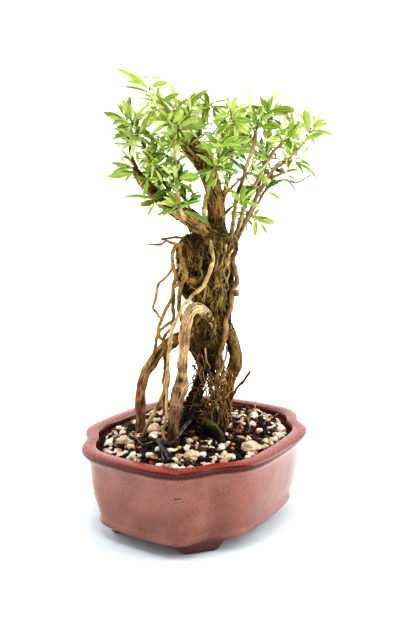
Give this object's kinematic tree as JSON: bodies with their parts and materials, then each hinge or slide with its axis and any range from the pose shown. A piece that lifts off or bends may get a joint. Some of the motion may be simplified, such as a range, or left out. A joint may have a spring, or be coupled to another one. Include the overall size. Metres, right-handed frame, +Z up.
{
  "type": "serissa bonsai",
  "caption": "Small serissa bonsai with lifted, exposed roots, forked trunk and tufted leaves, planted in a red-brown glazed lobed pot on corner feet.",
  "frame": {"origin": "on the floor under the middle of the pot", "axes": "+Z up; X along the pot's long axis; the tree's front faces the corner of the pot at -X and -Y"},
  "size_m": [0.152, 0.1313, 0.2706],
  "materials": {
    "glaze": "satin red-brown stoneware glaze, darker and redder under the lip",
    "soil": "dark peaty potting mix with pumice grit",
    "pumice": "dry, rough pumice",
    "screen_plastic": "moulded mesh",
    "dark_wire": "soft anodised training wire",
    "bark": "rough, ridged brown bark, paler and smoother on the roots",
    "young_bark": "thin grey-brown bark of young shoots",
    "leaf": "thin yellow-green leaves, slightly glossy above"
  },
  "bodies": {
    "root": {"pot": "glaze", "soil": "soil", "drainage_screen_left": "screen_plastic", "drainage_screen_right": "screen_plastic", "screen_clip_left": "dark_wire", "screen_clip_right": "dark_wire", "anchor_wire": "dark_wire", "pumice_nugget_1": "pumice", "pumice_nugget_2": "pumice", "pumice_nugget_3": "pumice", "pumice_nugget_4": "pumice", "trunk_and_roots": "bark", "front_left_shoot": "young_bark", "front_pale_shoot": "young_bark", "right_shoot_a": "young_bark", "right_shoot_b": "young_bark", "right_shoot_c": "young_bark", "right_shoot_d": "young_bark", "middle_shoot": "young_bark", "left_shoot_a": "young_bark", "left_shoot_b": "young_bark", "left_shoot_c": "young_bark", "crest_shoot": "young_bark", "back_left_shoot": "young_bark", "back_right_shoot": "young_bark", "leaves_top_left": "leaf", "leaves_top_left_low": "leaf", "leaves_crest_left": "leaf", "leaves_crest_mid": "leaf", "leaves_crest_peak": "leaf", "leaves_left_tip": "leaf", "leaves_left_outer": "leaf", "leaves_left_low": "leaf", "leaves_left_inner": "leaf", "leaves_left_nest": "leaf", "leaves_left_shelf": "leaf", "leaves_v_top": "leaf", "leaves_v_side": "leaf", "leaves_v_pair": "leaf", "leaves_fork": "leaf", "leaves_left_lone": "leaf", "leaves_pale_tip": "leaf", "leaves_pale_middle": "leaf", "leaves_pale_low": "leaf", "leaves_right_a_tip": "leaf", "leaves_right_crown": "leaf", "leaves_broad_leaves": "leaf", "leaves_right_b_tip": "leaf", "leaves_yellow_tip": "leaf", "leaves_right_end": "leaf", "leaves_right_c_tip": "leaf", "leaves_right_c_low": "leaf", "leaves_right_d_leaf": "leaf", "leaves_right_base": "leaf", "leaves_right_a_middle": "leaf", "leaves_middle_tip": "leaf", "leaves_back_left_tip": "leaf", "leaves_back_left_end": "leaf", "leaves_back_right_tip": "leaf", "leaves_back_right_end": "leaf"}
  },
  "joints": []
}
